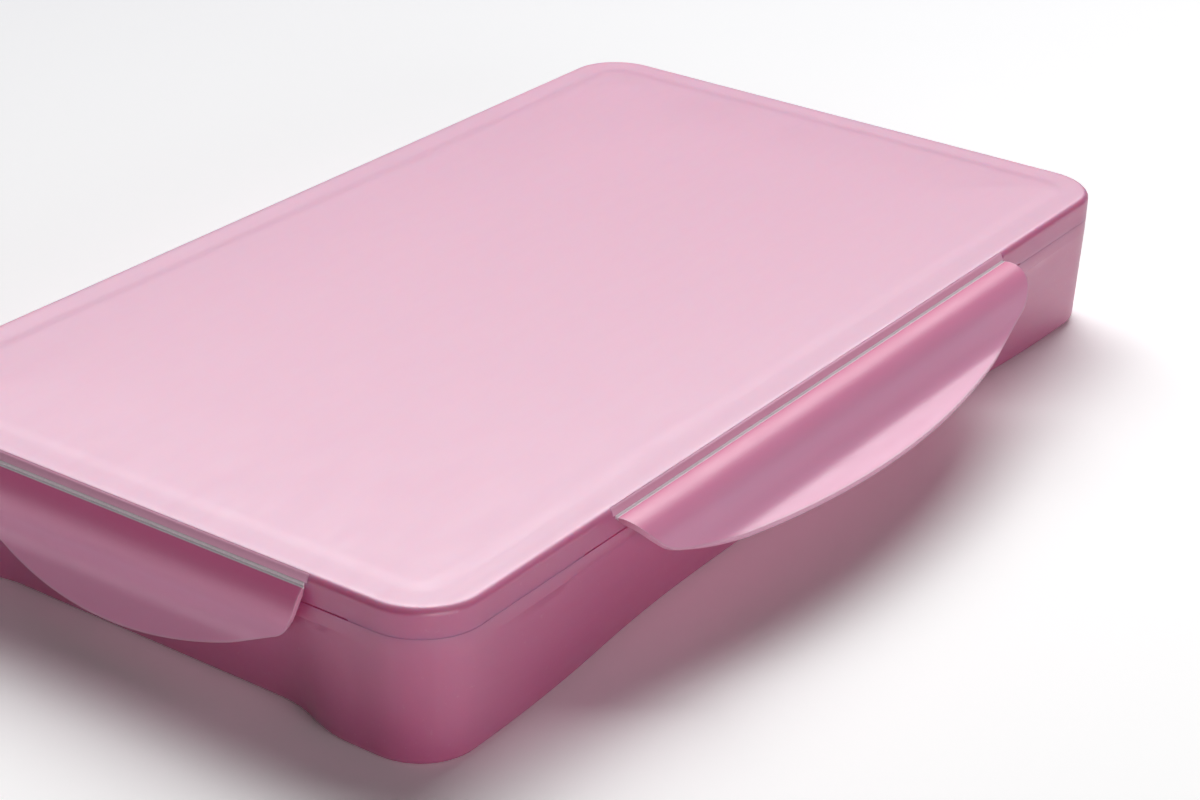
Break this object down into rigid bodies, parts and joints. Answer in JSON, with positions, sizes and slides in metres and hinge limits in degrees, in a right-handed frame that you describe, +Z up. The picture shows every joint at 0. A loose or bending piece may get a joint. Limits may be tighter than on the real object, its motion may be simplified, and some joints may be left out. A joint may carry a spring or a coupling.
{
  "type": "gouache paint set box",
  "caption": "Flat rectangular paint set box with a lift-off lid, a curved snap latch on each side, a mixing palette and square paint cups inside.",
  "frame": {"origin": "centre of the case's plan, on the table under the base", "axes": "+X along the long side, +Y towards the back, away from the partly open front latch, +Z up"},
  "size_m": [0.3114, 0.196, 0.0381],
  "materials": {
    "shell": "satin moulded polypropylene, pink",
    "hinge_web": "the same plastic, whitened by bending",
    "gasket": "matte",
    "palette": "white, half gloss",
    "cup": "milky white",
    "film": "clear film",
    "gouache_01": "titanium white, wet matte paint",
    "gouache_02": "lemon yellow, wet matte paint",
    "gouache_03": "mid yellow, wet matte paint",
    "gouache_04": "orange, wet matte paint",
    "gouache_05": "vermilion, wet matte paint",
    "gouache_06": "carmine, wet matte paint",
    "gouache_07": "rose, wet matte paint",
    "gouache_08": "peach, wet matte paint",
    "gouache_09": "violet, wet matte paint",
    "gouache_10": "ultramarine, wet matte paint",
    "gouache_11": "sky blue, wet matte paint",
    "gouache_12": "turquoise, wet matte paint",
    "gouache_13": "viridian, wet matte paint",
    "gouache_14": "grass green, wet matte paint",
    "gouache_15": "yellow ochre, wet matte paint",
    "gouache_16": "burnt sienna, wet matte paint",
    "gouache_17": "mid grey, wet matte paint",
    "gouache_18": "ivory black, wet matte paint"
  },
  "bodies": {
    "base": {"base_case": "shell", "paint_cup_01": "cup", "paint_cup_02": "cup", "paint_cup_03": "cup", "paint_cup_04": "cup", "paint_cup_05": "cup", "paint_cup_06": "cup", "paint_cup_07": "cup", "paint_cup_08": "cup", "paint_cup_09": "cup", "paint_cup_10": "cup", "paint_cup_11": "cup", "paint_cup_12": "cup", "paint_cup_13": "cup", "paint_cup_14": "cup", "paint_cup_15": "cup", "paint_cup_16": "cup", "paint_cup_17": "cup", "paint_cup_18": "cup", "gouache_01": "gouache_01", "gouache_02": "gouache_02", "gouache_03": "gouache_03", "gouache_04": "gouache_04", "gouache_05": "gouache_05", "gouache_06": "gouache_06", "gouache_07": "gouache_07", "gouache_08": "gouache_08", "gouache_09": "gouache_09", "gouache_10": "gouache_10", "gouache_11": "gouache_11", "gouache_12": "gouache_12", "gouache_13": "gouache_13", "gouache_14": "gouache_14", "gouache_15": "gouache_15", "gouache_16": "gouache_16", "gouache_17": "gouache_17", "gouache_18": "gouache_18", "peel_films": "film"},
    "palette": {"mixing_palette": "palette"},
    "lid": {"lid_shell": "shell", "lid_gasket": "gasket", "hinge_web_front": "hinge_web", "hinge_web_right": "hinge_web", "hinge_web_back": "hinge_web", "hinge_web_left": "hinge_web"},
    "latch_front": {"latch_front": "shell"},
    "latch_right": {"latch_right": "shell"},
    "latch_back": {"latch_back": "shell"},
    "latch_left": {"latch_left": "shell"}
  },
  "joints": [
    {"name": "palette_lift", "type": "slide", "parent": "base", "child": "palette", "axis": [0, 0, 1], "range_m": [0, 0.05]},
    {"name": "lid_lift", "type": "slide", "parent": "palette", "child": "lid", "axis": [0, 0, 1], "range_m": [0, 0.06]},
    {"name": "latch_front_hinge", "type": "hinge", "parent": "lid", "child": "latch_front", "pos_m": [0, -0.084, 0.0353], "axis": [-1, 0, 0], "range_deg": [-47.5, 57.5]},
    {"name": "latch_right_hinge", "type": "hinge", "parent": "lid", "child": "latch_right", "pos_m": [0.15, 0, 0.0353], "axis": [0, -1, 0], "range_deg": [0, 105]},
    {"name": "latch_back_hinge", "type": "hinge", "parent": "lid", "child": "latch_back", "pos_m": [0, 0.084, 0.0353], "axis": [1, 0, 0], "range_deg": [0, 105]},
    {"name": "latch_left_hinge", "type": "hinge", "parent": "lid", "child": "latch_left", "pos_m": [-0.15, 0, 0.0353], "axis": [0, 1, 0], "range_deg": [0, 105]}
  ]
}
